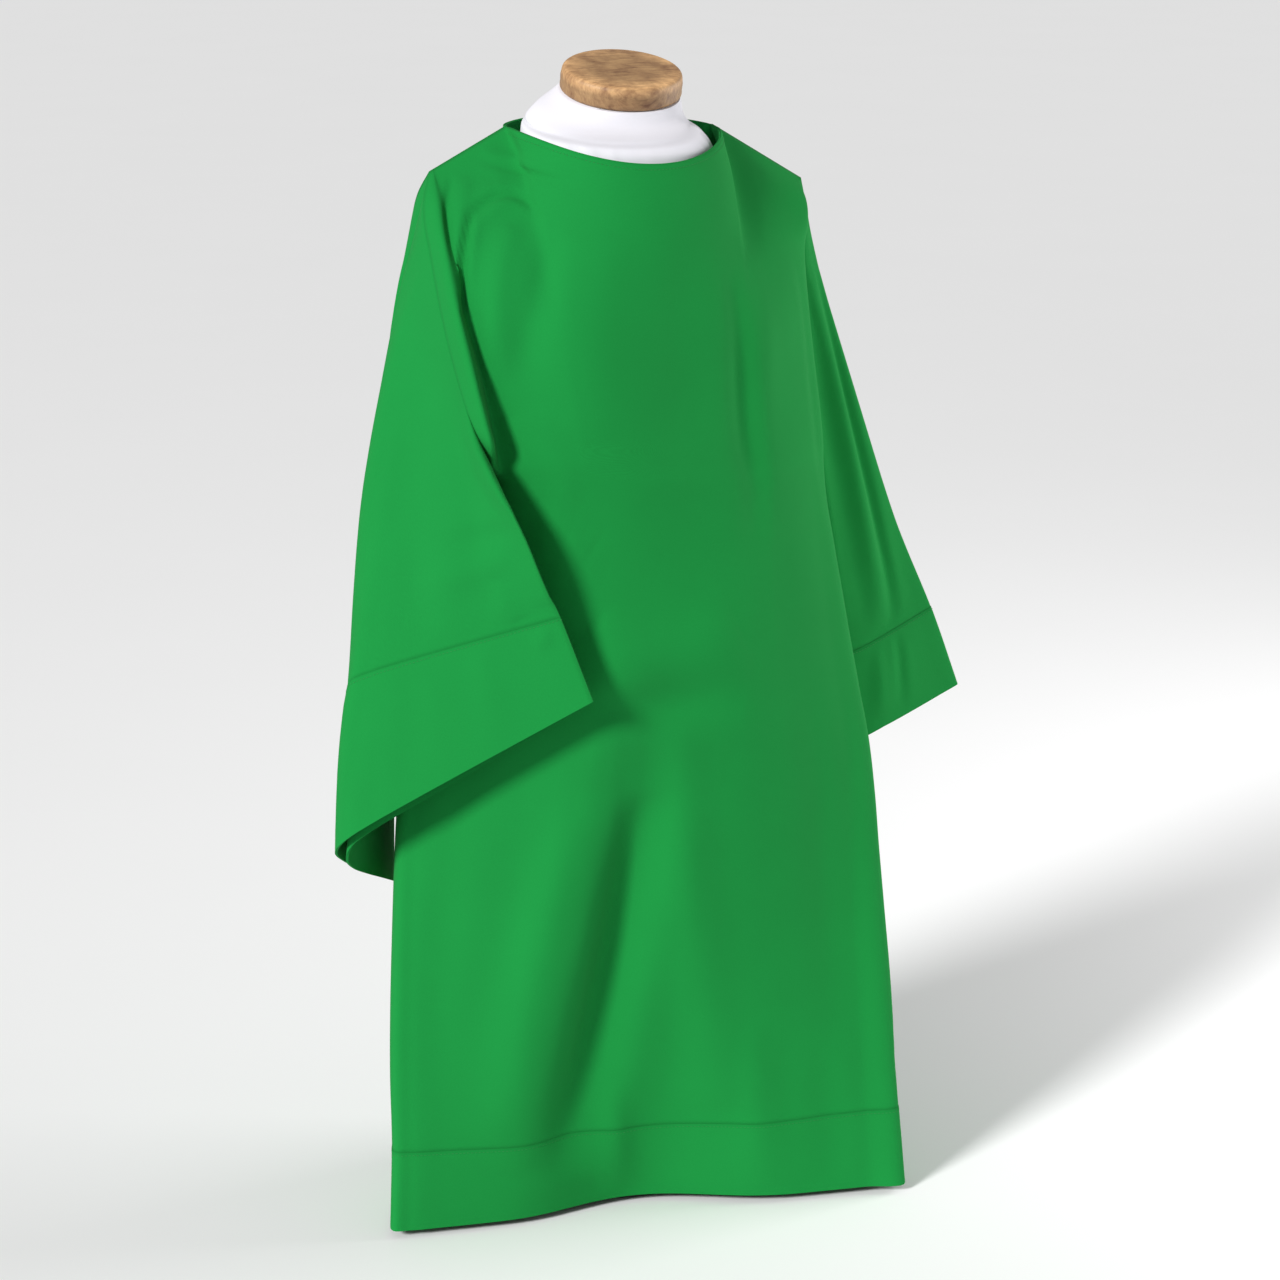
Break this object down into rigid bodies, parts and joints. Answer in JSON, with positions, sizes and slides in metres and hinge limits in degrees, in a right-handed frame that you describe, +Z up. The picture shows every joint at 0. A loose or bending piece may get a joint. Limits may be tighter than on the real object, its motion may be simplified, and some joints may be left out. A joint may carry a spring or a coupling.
{
  "type": "dalmatic on dress form",
  "caption": "Wide-sleeved knee-length vestment of plain green cloth, worn open at neck, cuffs and hem by a limbless dress form on a round stand.",
  "frame": {"origin": "centre of the underside of the stand's round base", "axes": "+Z up along the stand's pole, -Y out of the garment's front, +X towards the garment's left sleeve"},
  "size_m": [0.7992, 0.4092, 1.2523],
  "materials": {
    "green_cloth": "matte",
    "white_cloth": "matte",
    "wood": "satin",
    "steel": "satin"
  },
  "bodies": {
    "root": {"front": "green_cloth", "hem_front": "green_cloth", "back": "green_cloth", "hem_back": "green_cloth", "sleeve_right": "green_cloth", "cuff_right": "green_cloth", "sleeve_left": "green_cloth", "cuff_left": "green_cloth", "facing_front": "green_cloth", "facing_back": "green_cloth", "torso": "white_cloth", "neck": "white_cloth", "neck_cap": "wood", "pole": "steel", "base": "steel"}
  },
  "joints": []
}
